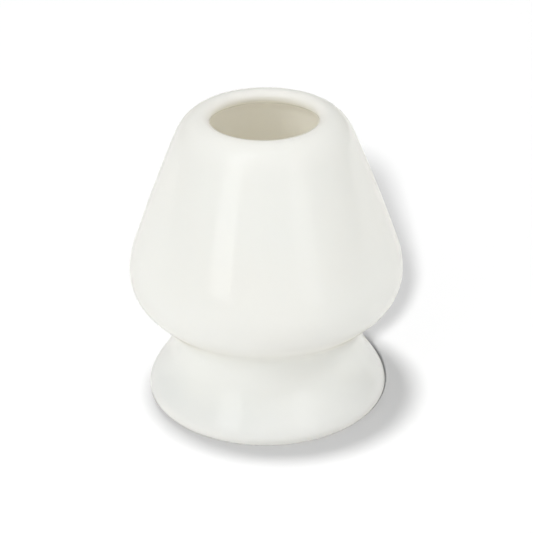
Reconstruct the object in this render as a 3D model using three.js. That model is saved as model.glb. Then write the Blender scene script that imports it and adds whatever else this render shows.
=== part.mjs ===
// Porcelain tea whisk holder, the stand that a bamboo tea whisk is dried on.
// It is slip cast in one piece: a dome that spreads the whisk's outer tines, a mouth that takes
// the inner tines, a waist, and a flared foot. The casting is hollow, so its inside follows its
// outside at the wall's thickness, and a hole through the floor lets the whisk drip and dry.
// Millimetres, +Z up. The origin is on the axis, in the plane that the foot ring stands on.

import * as THREE from 'three';

// Driving sizes of the whole
const HEIGHT = 73;
const BELLY_RADIUS = 32.5;
const BELLY_HEIGHT = 33.8;
const WAIST_RADIUS = 23;
const WAIST_HEIGHT = 16.4;
const FOOT_RADIUS = 28.7;
const MOUTH_RADIUS = 12.6;
const WALL = 4;

// Lip: a blunt nose that rolls into the mouth above and turns back under it inside
const LIP_ROLL_WIDTH = 0.8;
const LIP_ROLL_DROP = 1;
const LIP_UNDERSIDE_WIDTH = 1.7;
const LIP_UNDERSIDE_DROP = 3.4;
const LIP_UNDERSIDE_TILT = THREE.MathUtils.degToRad(30);

// Dome: a rounded shoulder, then a cone whose side is a little crowned, down to where it turns
const SHOULDER_WIDTH = 7.1;
const SHOULDER_DROP = 4.6;
const CONE_CROWN = THREE.MathUtils.degToRad(1.6);
const CONE_END_IN = 2.6;
const CONE_END_RISE = 10.2;

// How far the outline keeps straight on before it bends, above and below belly, waist and foot
const BELLY_PULL = 9.5;
const WAIST_PULL_UP = 7.9;
const WAIST_PULL_DOWN = 6.6;
const FOOT_PULL = 3.6;

// Foot: a rounded bottom edge, the bare ring that it stands on, and the recess inside the ring
const FOOT_EDGE_WIDTH = 3.5;
const FOOT_EDGE_RISE = 2.6;
const RING_WIDTH = 3.2;
const RING_INNER_ROUND = 0.8;
const RECESS_DEPTH = 2;

// Floor, its drain hole, and the inside corner where the wall meets it
const FLOOR_THICKNESS = 3.6;
const DRAIN_RADIUS = 5;
const DRAIN_ROUND = 0.7;
const HEEL_WIDTH = 2.8;
const HEEL_SHARE = 0.55;

// Facets: how many go round the axis, and how far one may lie off the curve that it follows
const AROUND = 48;
const FACET_SAG = 0.07;
const LEAST_STEPS = 2;

const GLAZE_COLOUR = 0xeeeeea;
const GLAZE_ROUGHNESS = 0.12;

const OUT = 0;
const UP = Math.PI / 2;
const IN = Math.PI;
const DOWN = -Math.PI / 2;

// A station is a point of the half section and the heading of the outline as it passes it.
function station(radius, height, heading) {
  return { at: new THREE.Vector2(radius, height), heading };
}

function ahead(from, distance) {
  return new THREE.Vector2(Math.cos(from.heading), Math.sin(from.heading))
    .multiplyScalar(distance)
    .add(from.at);
}

// The curve one wall inside another. The outside is passed upwards with the clay on its left,
// and the inside downwards, from share `from` of the outside's way back to share `to`.
class InsideWall extends THREE.Curve {
  constructor(outside, from = 1, to = 0) {
    super();
    Object.assign(this, { outside, from, to });
  }

  getPoint(t) {
    const share = THREE.MathUtils.lerp(this.from, this.to, t);
    const heading = this.outside.getTangent(share).angle();
    return ahead({ at: this.outside.getPoint(share), heading: heading + UP }, WALL);
  }

  endStation(t) {
    return { at: this.getPoint(t), heading: this.getTangent(t).angle() };
  }
}

function turnBetween(a, b) {
  const turn = Math.abs(b.heading - a.heading) % (2 * Math.PI);
  return Math.min(turn, 2 * Math.PI - turn);
}

// A cubic curve between two stations that runs straight on for the two pulls.
function pulled(a, b, pullA, pullB) {
  return new THREE.CubicBezierCurve(a.at, ahead(a, pullA), ahead(b, -pullB), b.at);
}

// The cubic curve that is a round arc where the two headings allow one.
function rounded(a, b) {
  const chord = a.at.distanceTo(b.at);
  const pull = chord / (3 * Math.cos(turnBetween(a, b) / 4) ** 2);
  return pulled(a, b, pull, pull);
}

function straight(a, b) {
  return new THREE.LineCurve(a.at, b.at);
}

// The outside, from the foot ring up to the mouth
function outsideStations() {
  const crestRadius = MOUTH_RADIUS + LIP_ROLL_WIDTH;
  const shoulder = station(crestRadius + SHOULDER_WIDTH, HEIGHT - SHOULDER_DROP, UP);
  const coneEnd = station(BELLY_RADIUS - CONE_END_IN, BELLY_HEIGHT + CONE_END_RISE, UP);
  const coneHeading = shoulder.at.clone().sub(coneEnd.at).angle();
  shoulder.heading = coneHeading + CONE_CROWN;
  coneEnd.heading = coneHeading - CONE_CROWN;
  return {
    ringOuter: station(FOOT_RADIUS - FOOT_EDGE_WIDTH, 0, OUT),
    foot: station(FOOT_RADIUS, FOOT_EDGE_RISE, UP),
    waist: station(WAIST_RADIUS, WAIST_HEIGHT, UP),
    belly: station(BELLY_RADIUS, BELLY_HEIGHT, UP),
    coneEnd,
    shoulder,
    crest: station(crestRadius, HEIGHT, IN),
    throat: station(MOUTH_RADIUS, HEIGHT - LIP_ROLL_DROP, DOWN),
  };
}

function outsideCurves(o) {
  return [
    rounded(o.ringOuter, o.foot),
    pulled(o.foot, o.waist, FOOT_PULL, WAIST_PULL_DOWN),
    pulled(o.waist, o.belly, WAIST_PULL_UP, BELLY_PULL),
    rounded(o.belly, o.coneEnd),
    rounded(o.coneEnd, o.shoulder),
    rounded(o.shoulder, o.crest),
    rounded(o.crest, o.throat),
  ];
}

// The inside, from the mouth down to the floor. The heel is the last place where the inside
// still follows the foot's flare, before it rounds into the floor.
function insideCurves(o) {
  const cone = new InsideWall(rounded(o.coneEnd, o.shoulder));
  const bellyTurn = new InsideWall(rounded(o.belly, o.coneEnd));
  const underBelly = new InsideWall(pulled(o.waist, o.belly, WAIST_PULL_UP, BELLY_PULL));
  const flare = new InsideWall(pulled(o.foot, o.waist, FOOT_PULL, WAIST_PULL_DOWN), 1, HEEL_SHARE);

  const underLip = station(
    MOUTH_RADIUS + LIP_UNDERSIDE_WIDTH,
    HEIGHT - LIP_UNDERSIDE_DROP,
    -LIP_UNDERSIDE_TILT,
  );
  const heel = flare.endStation(1);
  const floorTop = RECESS_DEPTH + FLOOR_THICKNESS;
  const floorEdge = station(heel.at.x - HEEL_WIDTH, floorTop, IN);
  const drainTop = station(DRAIN_RADIUS + DRAIN_ROUND, floorTop, IN);
  return [
    rounded(o.throat, underLip),
    rounded(underLip, cone.endStation(0)),
    cone,
    bellyTurn,
    underBelly,
    flare,
    rounded(heel, floorEdge),
    straight(floorEdge, drainTop),
  ];
}

// The underside, from the drain hole out to the foot ring
function undersideCurves(o) {
  const floorTop = RECESS_DEPTH + FLOOR_THICKNESS;
  const recessRadius = o.ringOuter.at.x - RING_WIDTH;
  const drainTop = station(DRAIN_RADIUS + DRAIN_ROUND, floorTop, IN);
  const drainUpper = station(DRAIN_RADIUS, floorTop - DRAIN_ROUND, DOWN);
  const drainLower = station(DRAIN_RADIUS, RECESS_DEPTH + DRAIN_ROUND, DOWN);
  const drainBottom = station(DRAIN_RADIUS + DRAIN_ROUND, RECESS_DEPTH, OUT);
  const recessEdge = station(recessRadius - RECESS_DEPTH, RECESS_DEPTH, OUT);
  const ringInner = station(recessRadius + RING_INNER_ROUND, 0, OUT);
  return [
    rounded(drainTop, drainUpper),
    straight(drainUpper, drainLower),
    rounded(drainLower, drainBottom),
    straight(drainBottom, recessEdge),
    pulled(recessEdge, ringInner, RECESS_DEPTH, RING_INNER_ROUND),
    straight(ringInner, o.ringOuter),
  ];
}

// An arc's facet of angle t lies radius * t * t / 8 off it, which gives the steps that a curve
// of this length and turn needs.
function stepsOf(curve) {
  if (curve.isLineCurve) return 1;
  const samples = 24;
  const tangents = Array.from({ length: samples + 1 }, (_, i) => curve.getTangent(i / samples));
  const turned = tangents
    .slice(1)
    .reduce((sum, tangent, i) => sum + Math.acos(Math.min(1, tangent.dot(tangents[i]))), 0);
  const steps = Math.sqrt((turned * curve.getLength()) / (8 * FACET_SAG));
  return Math.max(LEAST_STEPS, Math.ceil(steps));
}

function halfSection() {
  const o = outsideStations();
  const curves = [...outsideCurves(o), ...insideCurves(o), ...undersideCurves(o)];
  const points = curves.flatMap((curve) => curve.getPoints(stepsOf(curve)).slice(1));
  return [points[points.length - 1].clone(), ...points];
}

function ceramicBody() {
  const geometry = new THREE.LatheGeometry(halfSection(), AROUND);
  geometry.rotateX(UP);
  const glaze = new THREE.MeshStandardMaterial({
    color: GLAZE_COLOUR,
    roughness: GLAZE_ROUGHNESS,
    metalness: 0,
  });
  const body = new THREE.Mesh(geometry, glaze);
  body.name = 'ceramic_body';
  return body;
}

const holder = new THREE.Group();
holder.add(ceramicBody());

export default holder;
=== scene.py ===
# %% [markdown]
# # A porcelain tea whisk holder
# A bamboo tea whisk is stood on this holder while it dries, so that its tines keep their curl.
# The holder is one hollow piece of slip-cast porcelain under a clear glaze. These cells take its
# solid as a fixed frame, make a fine surface in the same place, and finish it as the
# real one is finished: a glossy white skin, a wall that lets some light through to the inside,
# and a bare ring where it stands.

# %% Load the frame
import math

import bpy
import numpy as np
from mathutils import Matrix, Vector


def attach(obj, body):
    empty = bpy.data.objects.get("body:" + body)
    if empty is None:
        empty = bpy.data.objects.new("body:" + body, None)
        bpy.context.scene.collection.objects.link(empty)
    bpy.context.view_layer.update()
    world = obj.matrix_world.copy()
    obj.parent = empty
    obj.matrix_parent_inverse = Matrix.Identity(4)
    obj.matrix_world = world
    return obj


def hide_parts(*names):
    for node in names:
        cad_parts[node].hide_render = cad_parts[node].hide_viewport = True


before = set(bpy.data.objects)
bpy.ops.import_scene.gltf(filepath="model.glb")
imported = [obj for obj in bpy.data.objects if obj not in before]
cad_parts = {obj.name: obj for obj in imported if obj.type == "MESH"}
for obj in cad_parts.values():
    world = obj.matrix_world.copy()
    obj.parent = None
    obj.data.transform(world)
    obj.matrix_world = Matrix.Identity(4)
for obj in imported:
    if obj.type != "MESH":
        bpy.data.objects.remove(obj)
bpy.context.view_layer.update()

MM = 0.001

# %% [markdown]
# ## The half section
# Every part of the holder is round about one axis, so half of a section through it says all of
# its shape. It could be drawn as a chain of straight steps, but then the light would break at
# each of them. It is given by stations instead: a radius and a height in millimetres, and the
# heading of the outline there in degrees, with 0 outwards and 90 up. A cubic curve joins two
# stations and runs straight on from each for its pull, so neighbours meet without a corner.

# %% Curves between stations
OUT, UP, IN, DOWN = 0, 90, 180, -90


def station(radius, height, heading):
    """The place in millimetres and the heading, turned to radians, as one array."""
    return np.array([radius, height, math.radians(heading)], float)


def ahead(place, distance):
    """The point that lies that distance along the station's heading."""
    return place[:2] + distance * np.array([math.cos(place[2]), math.sin(place[2])])


def pulled(a, b, pull_a, pull_b):
    """The four control points of a cubic that leaves a and reaches b along their headings."""
    return np.array([a[:2], ahead(a, pull_a), ahead(b, -pull_b), b[:2]])


def rounded(a, b):
    """The cubic nearest a round arc: each pull is chord / (3 cos(turn / 4) squared)."""
    turn = abs(b[2] - a[2]) % (2 * math.pi)
    turn = min(turn, 2 * math.pi - turn)
    pull = np.linalg.norm(b[:2] - a[:2]) / (3 * math.cos(turn / 4) ** 2)
    return pulled(a, b, pull, pull)


def straight(a, b):
    """The cubic that is a straight line: its inner control points are at thirds of the way."""
    a, b = a[:2], b[:2]
    return np.array([a, a + (b - a) / 3, b - (b - a) / 3, b])


def along(cubic, share):
    """
    Points at shares t of a cubic's way, and unit vectors that point along it there. With
    u = 1 - t and the control points a to d, a point is u^3 a + 3 u^2 t b + 3 u t^2 c + t^3 d,
    and it moves along u^2 (b - a) + 2 u t (c - b) + t^2 (d - c).
    """
    t, u = share[:, None], 1 - share[:, None]
    a, b, c, d = cubic
    point = u**3 * a + 3 * u * u * t * b + 3 * u * t * t * c + t**3 * d
    way = u * u * (b - a) + 2 * u * t * (c - b) + t * t * (d - c)
    return point, way / np.linalg.norm(way, axis=1, keepdims=True)


TEST_POINTS = 9
quarter_arc = rounded(station(1, 0, UP), station(0, 1, IN))
quarter, _ = along(quarter_arc, np.linspace(0, 1, TEST_POINTS))
off_arc = np.abs(np.linalg.norm(quarter, axis=1) - 1).max()
print(f"a cubic quarter circle is right to {off_arc:.4f} of its radius")

# %% [markdown]
# ## The outside
# It is fixed by the widths and heights of its foot, waist, belly and mouth. The dome between
# belly and mouth is a cone with a slight crown, and a rounded shoulder leads it into the lip,
# which rolls over into the mouth. Below, one long S takes the belly under, into the waist and
# out again into the foot. Its pulls say how far it keeps straight on before it bends. The
# outline could be traced point by point instead, but a few named sizes can be held against a
# real holder, and the curves between them stay smooth when one is changed.

# %% The outside, from the foot ring up over the belly to the mouth
HEIGHT, BELLY_RADIUS, BELLY_HEIGHT = 73.0, 32.5, 33.8
WAIST_RADIUS, WAIST_HEIGHT, FOOT_RADIUS, MOUTH_RADIUS = 23.0, 16.4, 28.7, 12.6
FOOT_PULL, WAIST_PULL_DOWN, WAIST_PULL_UP, BELLY_PULL = 3.6, 6.6, 7.9, 9.5
CONE_CROWN = 1.6

# How far each reaches across, and then how far up or down
FOOT_EDGE, CONE_END, SHOULDER, LIP_ROLL = (3.5, 2.6), (2.6, 10.2), (6.4, 5.4), (2.0, 1.4)


def heading_of(way):
    """The heading of a vector in the section: the angle whose tangent is rise / reach."""
    return math.degrees(math.atan2(way[1], way[0]))


crest_radius = MOUTH_RADIUS + LIP_ROLL[0]
shoulder_at = np.array([crest_radius + SHOULDER[0], HEIGHT - SHOULDER[1]])
cone_end_at = np.array([BELLY_RADIUS - CONE_END[0], BELLY_HEIGHT + CONE_END[1]])
cone_heading = heading_of(shoulder_at - cone_end_at)

ring_outer = station(FOOT_RADIUS - FOOT_EDGE[0], 0, OUT)
foot = station(FOOT_RADIUS, FOOT_EDGE[1], UP)
waist = station(WAIST_RADIUS, WAIST_HEIGHT, UP)
belly = station(BELLY_RADIUS, BELLY_HEIGHT, UP)
cone_end = station(*cone_end_at, cone_heading - CONE_CROWN)
shoulder = station(*shoulder_at, cone_heading + CONE_CROWN)
crest = station(crest_radius, HEIGHT, IN)
throat = station(MOUTH_RADIUS, HEIGHT - LIP_ROLL[1], DOWN)

foot_flare = pulled(foot, waist, FOOT_PULL, WAIST_PULL_DOWN)
under_belly = pulled(waist, belly, WAIST_PULL_UP, BELLY_PULL)
belly_turn = rounded(belly, cone_end)
cone = rounded(cone_end, shoulder)
print(f"the cone leans in by {cone_heading - UP:.1f} degrees from upright")

# %% [markdown]
# ## The inside
# Liquid clay is poured into a plaster mould and poured out again, which leaves an even skin of
# clay on the plaster. So the inside isn't drawn: it is the outside, moved one wall along its
# own normals. Only the lip, which is trimmed and sponged, and the corner where the wall meets
# the floor are drawn one by one.

# %% One wall inside
WALL = 4.0
LIP_UNDERSIDE, LIP_TILT = (1.7, 3.4), 30
HEEL_SHARE = 0.55  # of the way from foot to waist: down to it the inside follows the outside


def through_wall(cubic, share):
    """The cubic's points, moved by the wall along the normal at its left, and the way back."""
    point, way = along(cubic, share)
    left = np.stack([-way[:, 1], way[:, 0]], axis=1)
    return point + WALL * left, -way


under_lip = station(MOUTH_RADIUS + LIP_UNDERSIDE[0], HEIGHT - LIP_UNDERSIDE[1], -LIP_TILT)
cone_point, cone_way = through_wall(cone, np.array([1.0]))
cone_top = station(*cone_point[0], heading_of(cone_way[0]))
heel_point, heel_way = through_wall(foot_flare, np.array([HEEL_SHARE]))
heel = station(*heel_point[0], heading_of(heel_way[0]))
print(f"wall {WALL} mm, followed down to {heel[1]:.1f} mm above the table")

# %% The floor, its drain hole and the recess under it
FLOOR, RECESS, RING_WIDTH, RING_ROUND = 3.6, 2.0, 3.2, 0.8
DRAIN_RADIUS, DRAIN_ROUND, HEEL_WIDTH = 5.0, 0.7, 2.8

floor_top = RECESS + FLOOR
floor_edge = station(heel[0] - HEEL_WIDTH, floor_top, IN)
drain_top = station(DRAIN_RADIUS + DRAIN_ROUND, floor_top, IN)
drain_upper = station(DRAIN_RADIUS, floor_top - DRAIN_ROUND, DOWN)
drain_lower = station(DRAIN_RADIUS, RECESS + DRAIN_ROUND, DOWN)
drain_bottom = station(DRAIN_RADIUS + DRAIN_ROUND, RECESS, OUT)

recess_radius = ring_outer[0] - RING_WIDTH
recess_edge = station(recess_radius - RECESS, RECESS, OUT)
ring_inner = station(recess_radius + RING_ROUND, 0, OUT)
print(f"floor {FLOOR} mm, flat foot ring {ring_outer[0] - ring_inner[0]:.1f} mm wide")

# %% [markdown]
# ## The surface
# The section is carried round the axis. A spin modifier could do it, but a grid of two
# parameters, the place along the section and the angle, is one line of numpy, and it lets each
# point carry facts for the glaze: whether it is inside the holder, and whether the clay there
# is hollow, where liquid glaze gathers and painted light lifts the shade, or an edge, which it
# draws away from.


# %% Points along a stretch of the section
def drawn(cubic, steps):
    """Points at even shares of the cubic, without its end, where the next stretch starts."""
    return along(cubic, np.linspace(0, 1, steps, endpoint=False))[0]


def inset(cubic, steps, last=0.0):
    """Points one wall inside the cubic, at even shares from its end back to share last."""
    return through_wall(cubic, 1 - np.linspace(0, 1, steps, endpoint=False) * (1 - last))[0]


print("a stretch of 4 points on the cone starts at", drawn(cone, 4)[0].round(2))

# %% The section as points
# How far inside the holder a stretch is at its two ends, from 0 to 1
OUTSIDE, GOING_IN, INSIDE, COMING_OUT = (0, 0), (0, 1), (1, 1), (1, 0)

# Each stretch in its order round the clay, with its number of points
stretches = [
    (drawn(rounded(ring_outer, foot), 14), OUTSIDE),
    (drawn(foot_flare, 30), OUTSIDE),
    (drawn(under_belly, 34), OUTSIDE),
    (drawn(belly_turn, 16), OUTSIDE),
    (drawn(cone, 28), OUTSIDE),
    (drawn(rounded(shoulder, crest), 18), OUTSIDE),
    (drawn(rounded(crest, throat), 14), GOING_IN),
    (drawn(rounded(throat, under_lip), 10), INSIDE),
    (drawn(rounded(under_lip, cone_top), 10), INSIDE),
    (inset(cone, 16), INSIDE),
    (inset(belly_turn, 10), INSIDE),
    (inset(under_belly, 22), INSIDE),
    (inset(foot_flare, 12, HEEL_SHARE), INSIDE),
    (drawn(rounded(heel, floor_edge), 12), INSIDE),
    (drawn(straight(floor_edge, drain_top), 6), INSIDE),
    (drawn(rounded(drain_top, drain_upper), 6), INSIDE),
    (drawn(straight(drain_upper, drain_lower), 2), COMING_OUT),
    (drawn(rounded(drain_lower, drain_bottom), 6), OUTSIDE),
    (drawn(straight(drain_bottom, recess_edge), 8), OUTSIDE),
    (drawn(pulled(recess_edge, ring_inner, RECESS, RING_ROUND), 12), OUTSIDE),
    (drawn(straight(ring_inner, ring_outer), 4), OUTSIDE),
]
section = np.concatenate([points for points, _ in stretches])
inside_share = np.concatenate(
    [np.linspace(*side, len(points), endpoint=False) for points, side in stretches]
)
print(f"section of {len(section)} points, {section[:, 0].max():.2f} mm at its widest")

# %% [markdown]
# ### Hollows and edges
# Where the glaze gathers and where it draws thin could be painted on by hand, but the section
# itself says it: it bends one way in a hollow and the other way over an edge. The bend is taken
# over about a millimetre, because that is as far as liquid glaze evens itself out. A share of
# 1 is as much glaze gathered, or drawn away, as its colour can show. In a hollow that colour is
# also painted light, which lifts the shade in the crease.

# %% How sharply the section bends
GLAZE_REACH, HOLLOW_FULL, EDGE_FULL = 1.2, 0.12, 0.6


def turn_per_mm(section):
    """
    At each point, the angle between the step in and the step out over the mean length of both,
    averaged over its neighbours with weights exp(-(distance / reach) squared). The clay is on
    the left of the section, so an edge turns left and is positive, and a hollow is negative.
    """
    step = np.roll(section, -1, axis=0) - section
    length = np.linalg.norm(step, axis=1)
    before = np.roll(step, 1, axis=0)
    turned = before[:, 0] * step[:, 1] - before[:, 1] * step[:, 0]
    angle = np.arctan2(turned, (before * step).sum(axis=1))
    at = np.concatenate([[0], np.cumsum(length)[:-1]])
    apart = np.abs(at[:, None] - at)
    apart = np.minimum(apart, length.sum() - apart)
    span = (length + np.roll(length, 1)) / 2
    weight = np.exp(-((apart / GLAZE_REACH) ** 2))
    return (weight * angle).sum(axis=1) / (weight * span).sum(axis=1)


bend = turn_per_mm(section)
hollow_share = np.clip(-bend / HOLLOW_FULL, 0, 1)
edge_share = np.clip(bend / EDGE_FULL, 0, 1)
print(f"bend from {bend.min():.2f} to {bend.max():.2f} radians a millimetre")

# %% The section carried round the axis
AROUND = 320


def turned_mesh(name, section, around):
    """
    Vertex (i, j) is section point j = (r, z) turned by the angle v = 2 pi i / around, which is
    (r cos v, r sin v, z). A face joins it to its neighbours at i + 1 and j + 1.
    """
    angle = np.arange(around)[:, None] * 2 * math.pi / around
    radius, height = section.T * MM
    x, y = radius * np.cos(angle), radius * np.sin(angle)
    spots = np.stack([x, y, np.broadcast_to(height, x.shape)], axis=2)
    i, j = np.meshgrid(np.arange(around), np.arange(len(section)), indexing="ij")
    next_i, next_j = (i + 1) % around, (j + 1) % len(section)
    corners = [(i, j), (next_i, j), (next_i, next_j), (i, next_j)]
    quads = np.stack([a * len(section) + b for a, b in corners], axis=2)
    mesh = bpy.data.meshes.new(name)
    mesh.from_pydata(spots.reshape(-1, 3).tolist(), [], quads.reshape(-1, 4).tolist())
    mesh.polygons.foreach_set("use_smooth", np.ones(len(mesh.polygons), bool))
    mesh.update()
    return mesh


holder_mesh = turned_mesh("holder", section, AROUND)
for name, share in (("inside", inside_share), ("hollow", hollow_share), ("edge", edge_share)):
    layer = holder_mesh.attributes.new(name, "FLOAT", "POINT")
    layer.data.foreach_set("value", np.tile(share, AROUND).astype(np.float32))
holder = bpy.data.objects.new("porcelain_holder", holder_mesh)
bpy.context.scene.collection.objects.link(holder)
print(f"holder has {len(holder_mesh.polygons)} quads round {AROUND} angles")

# %% [markdown]
# ## Colours and nodes
# Colours are written as they look on a screen, in hex, and Blender's shaders work with light,
# so one function turns the first into the second. A second small function adds a node, sets
# it and joins it, so that each material below reads as a list of what it is made of.


# %% Small helpers
def light_of(code):
    """
    sRGB hex to linear red, green, blue and alpha. A channel c becomes c / 12.92 where it is
    nearly black, and ((c + 0.055) / 1.055) to the power of 2.4 elsewhere.
    """
    parts = [int(code[k : k + 2], 16) / 255 for k in (1, 3, 5)]
    return (*[p / 12.92 if p <= 0.04045 else ((p + 0.055) / 1.055) ** 2.4 for p in parts], 1.0)


def add(tree, kind, inputs, **settings):
    """
    Adds a shader node with its settings, then fills or links its inputs, given as {socket:
    value}. A node given as a value stands for the first of its outputs that is in use.
    """
    node = tree.nodes.new("ShaderNode" + kind)
    for name, value in settings.items():
        setattr(node, name, value)
    for socket, value in inputs.items():
        if isinstance(value, bpy.types.Node):
            value = next(output for output in value.outputs if output.enabled)
        if isinstance(value, bpy.types.NodeSocket):
            tree.links.new(value, node.inputs[socket])
        else:
            node.inputs[socket].default_value = value
    return node


def new_material(name):
    """A material with no nodes yet, and its node tree."""
    material = bpy.data.materials.new(name)
    material.use_nodes = True
    material.node_tree.nodes.clear()
    return material, material.node_tree


PLAIN_WHITE = light_of("#ffffff")
print("middle grey #808080 sends back", round(light_of("#808080")[0], 3), "of the light")

# %% [markdown]
# ## Glazed porcelain
# The body is white porcelain, and the glaze on it is a skin of clear glass about 0.2 mm thick
# that flowed smooth in the kiln. The eye sees the white body through it, with a sharp mirror
# image of the studio's panels on top, which a slow waviness of the glass bends a little. All of
# this is one Principled shader with a low roughness and the IOR of glass. Its patterns read the
# place on the holder in metres, so a noise with patches of so many millimetres has a scale of
# one over that length.

# %% The material, and the place on the holder
porcelain, tree = new_material("porcelain_clear_glazed")
place = add(tree, "TexCoord", {}).outputs["Object"]
print("patterns of", porcelain.name, "follow", place.name, "coordinates")

# %% [markdown]
# ### The ring that it stands on
# Before firing, the foot is wiped with a sponge, or its glaze would weld it to the kiln shelf.
# The glaze ends in a wandering line with a low rounded step, and the bare clay is matt, a
# little darker, and fine as chalk. A second piece of mesh could be this ring, but a mask from
# the distance to the axis keeps one skin, and the same mask moves colour, gloss and height.

# %% How far a point is from the middle of the bare ring
BARE_OUTER, BARE_INNER = 25.9, 22.3
WANDER, WANDER_SIZE, WANDER_DETAIL = 0.35, 7.0, 2.0
LEVEL_ONLY = (1.0, 1.0, 0.0)  # times this, a place loses its height

flat = add(tree, "VectorMath", {0: place, 1: LEVEL_ONLY}, operation="MULTIPLY")
from_axis = add(tree, "VectorMath", {0: flat}, operation="LENGTH")
wander = add(
    tree,
    "TexNoise",
    {"Vector": place, "Scale": 1 / (WANDER_SIZE * MM), "Detail": WANDER_DETAIL},
)
wander = add(
    tree, "Math", {0: wander, 1: 2 * WANDER * MM, 2: -WANDER * MM}, operation="MULTIPLY_ADD"
)
reach = add(tree, "Math", {0: from_axis, 1: wander}, operation="ADD")
middle_of_ring = (BARE_OUTER + BARE_INNER) / 2
off_ring = add(tree, "Math", {0: reach, 1: middle_of_ring * MM}, operation="SUBTRACT")
off_ring = add(tree, "Math", {0: off_ring}, operation="ABSOLUTE")
print(f"bare from {BARE_INNER} to {BARE_OUTER} mm out, give or take {WANDER} mm")

# %% The bare ring's mask
BARE_TOP, EDGE_BLUR = 0.9, 0.12

half_ring = (BARE_OUTER - BARE_INNER) / 2
on_ring = add(
    tree,
    "MapRange",
    {
        "Value": off_ring,
        "From Min": (half_ring + EDGE_BLUR) * MM,
        "From Max": (half_ring - EDGE_BLUR) * MM,
    },
    interpolation_type="SMOOTHSTEP",
)
up = add(tree, "SeparateXYZ", {"Vector": place}).outputs["Z"]
low_down = add(
    tree,
    "MapRange",
    {"Value": up, "From Min": BARE_TOP * MM, "From Max": BARE_TOP / 2 * MM},
    interpolation_type="SMOOTHSTEP",
)
bare = add(tree, "Math", {0: on_ring, 1: low_down}, operation="MULTIPLY")
print(f"the glaze ends over {2 * EDGE_BLUR} mm, and {BARE_TOP} mm up at the most")

# %% [markdown]
# ### Colour
# Clear glaze over white clay isn't one white. It has faint warm clouds a couple of centimetres
# wide, and is lighter where it has gathered in a hollow such as the waist. That lighter white is
# also painted light, which lifts the shade in the crease. It is warmer where it has drawn thin
# over the lip and the foot's edge. Each is a small step in hex, laid over the last.

# %% The white and its changes
OUTSIDE_WHITE, WARM_PATCH, INSIDE_CREAM = "#f4f8f8", "#f6f7f5", "#f6f4f0"
# The hollow colour is a lighter white: pooled glaze, and painted light in the waist's crease.
POOLED_GLAZE_AND_PAINTED_LIGHT, THIN_GLAZE, BARE_BODY = "#f7faf9", "#f7f7f5", "#dcd8cd"
CLOUD_SIZE, PLAIN_DETAIL = 22.0, 1.0

clouds = add(
    tree, "TexNoise", {"Vector": place, "Scale": 1 / (CLOUD_SIZE * MM), "Detail": PLAIN_DETAIL}
)
hollow, inside, edge = (
    add(tree, "Attribute", {}, attribute_name=name).outputs["Fac"]
    for name in ("hollow", "inside", "edge")
)
white = light_of(OUTSIDE_WHITE)
for share, colour in (
    (clouds, WARM_PATCH),
    # hollows get the lighter white, which paints light into the crease
    (hollow, POOLED_GLAZE_AND_PAINTED_LIGHT),
    (inside, INSIDE_CREAM),
    (edge, THIN_GLAZE),
    (bare, BARE_BODY),
):
    white = add(
        tree, "Mix", {"Factor": share, "A": white, "B": light_of(colour)}, data_type="RGBA"
    )
print("white", OUTSIDE_WHITE, "outside,", INSIDE_CREAM, "inside and", BARE_BODY, "where bare")

# %% [markdown]
# ### Relief
# Reliefs lie on each other, each given by its size and height in millimetres: the slow wave of
# the cast wall, the faint orange peel of the glass, and pinholes where a gas bubble broke as it
# cooled. The bare ring has the grain of the clay instead, and lies lower by the thickness of
# the glaze. The grain is drawn coarser than the real one, so that it shows.

# %% Wave and peel, pinholes, grain, and the step down to the bare ring
WAVE_SIZE, WAVE_HEIGHT = 18.0, 0.03
PEEL_SIZE, PEEL_HEIGHT = 1.1, 0.0006
PINHOLE_APART, PINHOLE_RADIUS, PINHOLE_DEPTH = 11.0, 0.09, 0.03
GRAIN_SIZE, GRAIN_HEIGHT, GRAIN_DETAIL = 0.35, 0.05, 3.0
GLAZE_THICKNESS = 0.2

wave, peel, grain = (
    add(tree, "TexNoise", {"Vector": place, "Scale": 1 / (size * MM), "Detail": detail})
    for size, detail in (
        (WAVE_SIZE, PLAIN_DETAIL),
        (PEEL_SIZE, PLAIN_DETAIL),
        (GRAIN_SIZE, GRAIN_DETAIL),
    )
)
bare_grain = add(tree, "Math", {0: bare, 1: grain}, operation="MULTIPLY")
glazed = add(tree, "Math", {0: 1.0, 1: bare}, operation="SUBTRACT")
dots = add(tree, "TexVoronoi", {"Vector": place, "Scale": 1 / (PINHOLE_APART * MM)})
pinhole_rim = PINHOLE_RADIUS / PINHOLE_APART
pinholes = add(
    tree,
    "MapRange",
    {"Value": dots, "From Min": pinhole_rim / 2, "From Max": pinhole_rim},
    interpolation_type="SMOOTHSTEP",
)
print(f"pinholes {2 * PINHOLE_RADIUS} mm wide, about {PINHOLE_APART:.0f} mm apart")

# %% The reliefs laid on each other
normal = add(tree, "Bump", {"Height": wave, "Distance": WAVE_HEIGHT * MM})
for relief, height in (
    (peel, PEEL_HEIGHT),
    (pinholes, PINHOLE_DEPTH),
    (bare_grain, GRAIN_HEIGHT),
    (glazed, GLAZE_THICKNESS),
):
    normal = add(tree, "Bump", {"Height": relief, "Distance": height * MM, "Normal": normal})
print(f"reliefs from {PEEL_HEIGHT} mm to {GLAZE_THICKNESS} mm high")

# %% [markdown]
# ### Gloss, and light through the wall
# The gloss is even but for the faintest clouding, and falls off altogether on the bare ring.
# Porcelain also lets light through: a hand behind a cup shows as a shadow. Here that is why the
# inside is bright and warm. Subsurface scattering is the usual way, but it works near a
# surface and hardly crosses 4 mm. So a share of the surface is a Translucent shader, which hands
# light on to the far side. It has a warm tint, and light crosses it twice to get inside, once in
# through the outer face and once out of the inner one.

# %% The porcelain put together
GLAZE_IOR, GLAZE_ROUGHNESS, BARE_ROUGHNESS = 1.55, 0.035, 0.85
DULL_SIZE, DULL_MORE = 9.0, 0.02
THROUGH_SHARE, THROUGH_TINT = 0.28, "#fffcf3"

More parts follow.
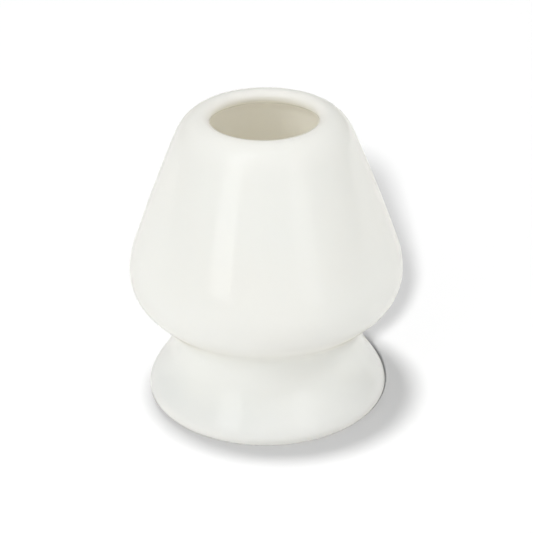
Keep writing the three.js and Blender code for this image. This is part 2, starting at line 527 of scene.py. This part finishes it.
dull = add(
    tree, "TexNoise", {"Vector": place, "Scale": 1 / (DULL_SIZE * MM), "Detail": PLAIN_DETAIL}
)
clouded = add(
    tree,
    "Math",
    {0: dull, 1: DULL_MORE, 2: GLAZE_ROUGHNESS - DULL_MORE / 2},
    operation="MULTIPLY_ADD",
)
roughness = add(tree, "Mix", {"Factor": bare, "A": clouded, "B": BARE_ROUGHNESS})
glaze = add(
    tree,
    "BsdfPrincipled",
    {"Base Color": white, "Roughness": roughness, "IOR": GLAZE_IOR, "Normal": normal},
)
through = add(tree, "BsdfTranslucent", {"Color": light_of(THROUGH_TINT)})
wall = add(tree, "MixShader", {"Fac": THROUGH_SHARE, 1: glaze, 2: through})
add(tree, "OutputMaterial", {"Surface": wall})

holder_mesh.materials.append(porcelain)
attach(holder, "root")
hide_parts("ceramic_body")
print("glazed:", holder.name, "with", len(tree.nodes), "nodes")

# %% [markdown]
# ## The sheet that it stands on
# The holder was photographed on white. White paper would do, but then its shadow is faint,
# because the room lights the shadow as well. So the sheet is a pale grey that lamps of its own
# bring up to white, and the shadow is where these lamps don't reach. What the holder gets back
# from the sheet is even light, so rays other than the camera's, and those that a mirror or
# glass sends on, find a darker paper with a soft glow there.

# %% The sheet, and which rays see it as the camera does
SHEET_SIDE = 3.0

half = SHEET_SIDE / 2
corners = [(-half, -half, 0), (half, -half, 0), (half, half, 0), (-half, half, 0)]
sheet_mesh = bpy.data.meshes.new("sheet")
sheet_mesh.from_pydata(corners, [], [(0, 1, 2, 3)])
paper, tree = new_material("white_paper_sheet")
rays = add(tree, "LightPath", {}).outputs
seen = rays["Is Camera Ray"]
for also in ("Is Glossy Ray", "Is Transmission Ray"):
    seen = add(tree, "Math", {0: seen, 1: rays[also]}, operation="MAXIMUM")
print(f"sheet {SHEET_SIDE} m square")

# %% The paper, as it is seen and as it lights the holder
SHEET_AS_SEEN, SHEET_AS_LIT, SHEET_GLOW = "#959595", "#646464", 0.53

grey = add(
    tree,
    "Mix",
    {"Factor": seen, "A": light_of(SHEET_AS_LIT), "B": light_of(SHEET_AS_SEEN)},
    data_type="RGBA",
)
matt = add(tree, "BsdfDiffuse", {"Color": grey})
unseen = add(tree, "Math", {0: 1.0, 1: seen}, operation="SUBTRACT")
strength = add(tree, "Math", {0: unseen, 1: SHEET_GLOW}, operation="MULTIPLY")
glow = add(tree, "Emission", {"Color": PLAIN_WHITE, "Strength": strength})
lit_paper = add(tree, "AddShader", {0: matt, 1: glow})
print("paper seen as", SHEET_AS_SEEN, "under lamps that bring it up to white")

# %% [markdown]
# From below, the sheet is clear, so that the underside can be looked at. Geometry's Backfacing
# is 1 there, and it chooses between the paper and a Transparent shader.

# %% The sheet, clear from below
clear = add(tree, "BsdfTransparent", {})
from_below = add(tree, "NewGeometry", {}).outputs["Backfacing"]
either = add(tree, "MixShader", {"Fac": from_below, 1: lit_paper, 2: clear})
add(tree, "OutputMaterial", {"Surface": either})
sheet_mesh.materials.append(paper)
sheet = bpy.data.objects.new("sheet", sheet_mesh)
bpy.context.scene.collection.objects.link(sheet)
print("paper:", len(tree.nodes), "nodes")

# %% [markdown]
# ## Light
# A white room gives most of it. It is even, but for a dimmer part low down behind the right
# side, because the holder in the photograph darkens towards its right edge. A grey card beside
# it could do that, but a soft change in the room has no edge for the glaze to mirror.

# %% The room
ROOM, DIM_PART, DIM_AZIMUTH, DIM_ELEVATION = 0.503, 0.4, 140, 5
DIM_FROM, DIM_FULL = 0.5, 0.95  # cosines of the angle from the middle of the dim part


def towards(azimuth, elevation):
    """
    The unit vector to a light, (sin a cos e, -cos a cos e, sin e), for its azimuth a and its
    elevation e in degrees. Azimuth 0 is in front, and it grows to the right.
    """
    a, e = math.radians(azimuth), math.radians(elevation)
    return Vector((math.sin(a) * math.cos(e), -math.cos(a) * math.cos(e), math.sin(e)))


world = bpy.data.worlds.new("white_room")
bpy.context.scene.world = world
world.use_nodes = True
tree = world.node_tree
tree.nodes.clear()
way = add(tree, "TexCoord", {}).outputs["Generated"]
dimmest = towards(DIM_AZIMUTH, DIM_ELEVATION)
facing = add(tree, "VectorMath", {0: way, 1: dimmest}, operation="DOT_PRODUCT")
dim = add(
    tree,
    "MapRange",
    {"Value": facing, "From Min": DIM_FROM, "From Max": DIM_FULL},
    interpolation_type="SMOOTHSTEP",
)
level = add(tree, "Math", {0: dim, 1: -DIM_PART * ROOM, 2: ROOM}, operation="MULTIPLY_ADD")
room = add(tree, "Background", {"Color": PLAIN_WHITE, "Strength": level})
add(tree, "OutputWorld", {"Surface": room})
print(f"room at {ROOM}, and at {(1 - DIM_PART) * ROOM:.2f} where it is dimmest")

# %% [markdown]
# Two tall panels in front, left and right, give the bright bars that the glaze mirrors. A
# picture of a studio round the whole scene could give them too, but a panel has a place and a
# size. These were worked back from where the bars lie, by mirroring the view at those points of
# the surface.


# %% The panels
def hang(name, lamp, way, distance=0.0):
    """Hangs a lamp that far from the middle of the holder, and turns it to face the holder."""
    stand = bpy.data.objects.new(name, lamp)
    stand.location = Vector((0, 0, HEIGHT / 2 * MM)) + distance * way
    stand.rotation_euler = way.to_track_quat("Z", "Y").to_euler()
    bpy.context.scene.collection.objects.link(stand)
    return stand


def panel(name, azimuth, elevation, distance, width, height, radiance):
    """
    A glowing rectangle in metres, at that radiance, which a mirror would show. A panel sends
    pi times its radiance from each square metre, so its power is pi radiance width height.
    """
    lamp = bpy.data.lights.new(name, "AREA")
    lamp.shape, lamp.size, lamp.size_y = "RECTANGLE", width, height
    lamp.energy = radiance * math.pi * width * height
    print(f"{name}: {lamp.energy:.2f} W")
    return hang(name, lamp, towards(azimuth, elevation), distance)


panel(
    "left_panel",
    azimuth=-39.5,
    elevation=38.5,
    distance=0.9,
    width=0.36,
    height=1.11,
    radiance=1.45,
)
panel(
    "right_panel",
    azimuth=37,
    elevation=27,
    distance=0.9,
    width=0.31,
    height=0.76,
    radiance=0.9,
)

# %% [markdown]
# The rest is even light from a few sides. Three wide lamps give the holder its form, and two
# more light the sheet and nothing else, so that the holder throws a tight shadow beside and
# below it. Light linking keeps each to its own, and none of them shows in the glaze.


# %% Lamps for the holder, and lamps for the sheet
def beam(name, only, azimuth, elevation, spread, level):
    """
    Even light on one object only. The level is the brightness that it gives a white face
    turned to it, so its strength is pi times that.
    """
    lamp = bpy.data.lights.new(name, "SUN")
    lamp.angle, lamp.energy = math.radians(spread), math.pi * level
    stand = hang(name, lamp, towards(azimuth, elevation))
    stand.visible_glossy = False
    receivers = bpy.data.collections.new(name + "_lights_only")
    receivers.objects.link(only)
    stand.light_linking.receiver_collection = receivers
    return stand


beam("left_side_light", holder, azimuth=-58, elevation=32, spread=20, level=0.24)
beam("right_side_light", holder, azimuth=82, elevation=50, spread=20, level=0.28)
beam("top_back_light", holder, azimuth=180, elevation=65, spread=20, level=0.09)
beam("sheet_front_light", sheet, azimuth=-8, elevation=31, spread=4, level=2.33)
beam("sheet_top_light", sheet, azimuth=-106, elevation=83.5, spread=12, level=1.58)

# %% [markdown]
# Light that gets in through the wall and the mouth bounces many times in the white hollow
# before it comes out again. At the usual four bounces the inside would come out grey.

# %% Enough bounces for the hollow
HOLLOW_BOUNCES, ALL_BOUNCES = 24, 28

cycles = bpy.context.scene.cycles
cycles.diffuse_bounces, cycles.max_bounces = HOLLOW_BOUNCES, ALL_BOUNCES
print("diffuse bounces:", cycles.diffuse_bounces)

# %% [markdown]
# ## Camera
# The photograph was taken from a little above, about half a metre off. The camera is set by
# what can be measured in it: a focal length in pixels, the angle that it looks down by, a small
# lean, and the point of the picture that the middle of the holder falls on. It could be moved
# by eye until the outlines agree, but then no one could say what was moved, or why.

# %% The camera's directions
ELEVATION, LEAN = 28.3, 0.7

e, lean = math.radians(ELEVATION), math.radians(LEAN)
forward = Vector((0, math.cos(e), -math.sin(e)))
level_right, square_up = Vector((1, 0, 0)), Vector((0, math.sin(e), math.cos(e)))
leaning_right = math.cos(lean) * level_right - math.sin(lean) * square_up
leaning_up = math.sin(lean) * level_right + math.cos(lean) * square_up
print(f"looks down by {ELEVATION} degrees and leans by {LEAN}")

# %% The camera
SIDE_PX, FOCAL_PX, SENSOR = 533, 2100.0, 36.0
STAND_OFF, AIM_Z, AIM_PX = 0.5, 35.0, (-0.4, 6.0)
NEAREST, FARTHEST = 0.01, 20

aside, above = AIM_PX[0] / FOCAL_PX, AIM_PX[1] / FOCAL_PX
look = (forward - aside * leaning_right - above * leaning_up).normalized()
side = look.cross(leaning_up).normalized()
turned = Matrix((side, side.cross(look), -look)).transposed().to_4x4()
aim = Vector((0, 0, AIM_Z * MM))

lens = bpy.data.cameras.new("camera")
lens.lens, lens.sensor_width = FOCAL_PX * SENSOR / SIDE_PX, SENSOR
lens.clip_start, lens.clip_end = NEAREST, FARTHEST
camera = bpy.data.objects.new("camera", lens)
camera.matrix_world = Matrix.Translation(aim - STAND_OFF * forward) @ turned
bpy.context.scene.collection.objects.link(camera)
bpy.context.scene.camera = camera
print(f"camera {STAND_OFF} m off, with a lens of {lens.lens:.0f} mm")

# %% [markdown]
# ## Finish
# Colours are shown as they are written, with the Standard view transform. The surface
# that is seen has to stay in the solid's box.

# %% Show colours as written, and finish
bpy.context.scene.view_settings.view_transform = "Standard"
bpy.context.view_layer.update()
